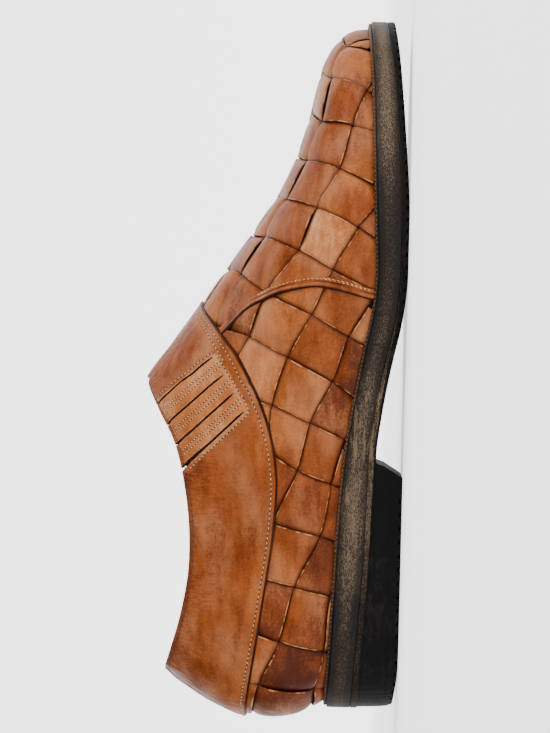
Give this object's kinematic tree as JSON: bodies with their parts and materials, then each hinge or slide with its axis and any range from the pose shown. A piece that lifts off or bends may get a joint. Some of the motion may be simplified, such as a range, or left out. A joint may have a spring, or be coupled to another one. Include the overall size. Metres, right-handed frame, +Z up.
{
  "type": "woven leather slip-on shoe",
  "caption": "Right slip-on dress shoe: wide-strip woven leather upper, smooth collar with strapped elastic gores, seam ridge, dark welted sole and low rubber heel.",
  "frame": {"origin": "middle of the shoe's box in plan, on the floor plane that the heel and the ball stand on", "axes": "+X from heel to toe, +Y towards the inner (big toe) side of this right shoe, +Z up"},
  "size_m": [0.3045, 0.1071, 0.112],
  "materials": {
    "woven_leather": "tan calf strips about 21 mm wide in a plain weave, burnished darker at edges and heel",
    "collar_leather": "smooth tan calf, waxed, soft creases, darker at its edges",
    "strap_leather": "lighter tan calf with light thread",
    "sole_edge": "brown-black antiqued sole edge with fine streaks",
    "welt_edge": "dark brown welt with a fine stitched bead",
    "tread_rubber": "matt black rubber, lightly scuffed",
    "insole_leather": "plain tan insole leather"
  },
  "bodies": {
    "root": {"outsole": "tread_rubber", "midsole": "sole_edge", "welt": "welt_edge", "heel": "tread_rubber", "insole": "insole_leather", "upper": "woven_leather", "collar": "collar_leather", "gore_strap_outer_1": "strap_leather", "gore_strap_outer_2": "strap_leather", "gore_strap_outer_3": "strap_leather", "gore_strap_inner_1": "strap_leather", "gore_strap_inner_2": "strap_leather", "gore_strap_inner_3": "strap_leather", "seam_ridge_outer": "woven_leather", "seam_ridge_inner": "woven_leather"}
  },
  "joints": []
}
